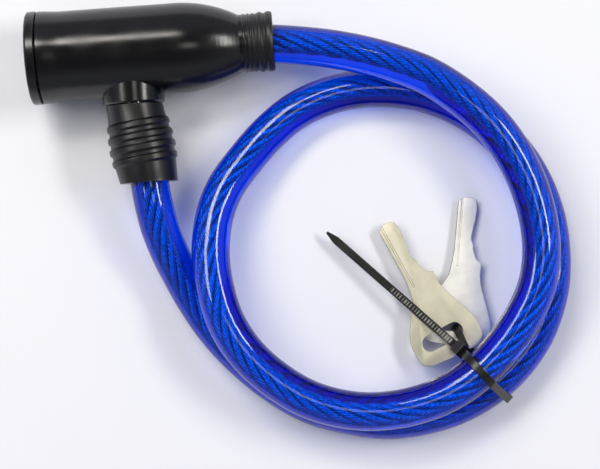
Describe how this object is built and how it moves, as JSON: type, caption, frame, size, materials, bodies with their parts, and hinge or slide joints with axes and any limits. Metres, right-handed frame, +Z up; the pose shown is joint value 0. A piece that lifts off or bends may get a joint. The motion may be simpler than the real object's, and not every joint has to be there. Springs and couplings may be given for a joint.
{
  "type": "key cable lock",
  "caption": "Key-operated T-shaped cable lock with a sleeved blue cable coiled in nearly two turns, a ribbed plug seated in its side, and keys on a cable tie.",
  "frame": {"origin": "middle of the foot of the head's box, measured without the cable, plug, tie and keys", "axes": "+X along the head from its key face to the cable's mouth, -Y the way the plug comes out, +Z up from the surface that the lock lies on"},
  "size_m": [0.1645, 0.1417, 0.029],
  "materials": {
    "soft_cover": "satin black",
    "hard_cap": "satin black",
    "diecast": "as cast",
    "brass_shell": "machined",
    "steel_pin": "ground",
    "crimp": "crimped",
    "blue_sleeve": "clear blue, glossy",
    "rope": "galvanised",
    "tie_nylon": "satin black",
    "brass_core": "nickel plated",
    "wafer_brass": "stamped",
    "spring_wire": "bright wire",
    "clip_steel": "blackened",
    "cam_metal": "zinc plated",
    "pin_steel": "bright plated",
    "key_nickel": "nickel plated brass"
  },
  "bodies": {
    "head": {"housing_cover": "soft_cover", "end_cap": "hard_cap", "lock_body": "diecast", "cylinder_shell": "brass_shell", "shell_pin": "steel_pin", "cable_ferrule": "crimp", "ferrule_pin": "steel_pin", "cable_sleeve": "blue_sleeve", "wire_rope": "rope", "cable_tie": "tie_nylon"},
    "core": {"cylinder_core": "brass_core", "wafer_springs": "spring_wire", "retaining_clip": "clip_steel", "locking_cam": "cam_metal", "cam_screw": "steel_pin"},
    "wafer_body_1": {"wafer_1": "wafer_brass"},
    "wafer_body_2": {"wafer_2": "wafer_brass"},
    "wafer_body_3": {"wafer_3": "wafer_brass"},
    "wafer_body_4": {"wafer_4": "wafer_brass"},
    "wafer_body_5": {"wafer_5": "wafer_brass"},
    "plug": {"plug_pin": "pin_steel", "plug_grip": "soft_cover", "plug_ferrule": "crimp"},
    "key_a": {"key_1": "key_nickel"},
    "key_b": {"key_2": "key_nickel"}
  },
  "joints": [
    {"name": "plug_pull", "type": "slide", "parent": "head", "child": "plug", "axis": [0, -1, 0], "range_m": [0, 0.028], "deforming": ["cable_sleeve", "wire_rope"]},
    {"name": "core_turn", "type": "hinge", "parent": "head", "child": "core", "pos_m": [-0.03, 0.00095, 0.0145], "axis": [1, 0, 0], "range_deg": [0, 90]},
    {"name": "wafer_1_slide", "type": "slide", "parent": "core", "child": "wafer_body_1", "axis": [0, 0, -1], "range_m": [0, 0.0007]},
    {"name": "wafer_2_slide", "type": "slide", "parent": "core", "child": "wafer_body_2", "axis": [0, 0, -1], "range_m": [0, 0.0007]},
    {"name": "wafer_3_slide", "type": "slide", "parent": "core", "child": "wafer_body_3", "axis": [0, 0, -1], "range_m": [0, 0.0007]},
    {"name": "wafer_4_slide", "type": "slide", "parent": "core", "child": "wafer_body_4", "axis": [0, 0, -1], "range_m": [0, 0.0007]},
    {"name": "wafer_5_slide", "type": "slide", "parent": "core", "child": "wafer_body_5", "axis": [0, 0, -1], "range_m": [0, 0.0007]},
    {"name": "key_1_swing", "type": "hinge", "parent": "head", "child": "key_a", "pos_m": [0.0887, -0.0924, 0.0056], "axis": [-0.0319, 0.0698, 0.9971], "range_deg": [-6, 6]},
    {"name": "key_2_swing", "type": "hinge", "parent": "head", "child": "key_b", "pos_m": [0.0887, -0.0924, 0.0025], "axis": [0.0054, 0.0327, 0.9995], "range_deg": [-6, 6]}
  ]
}
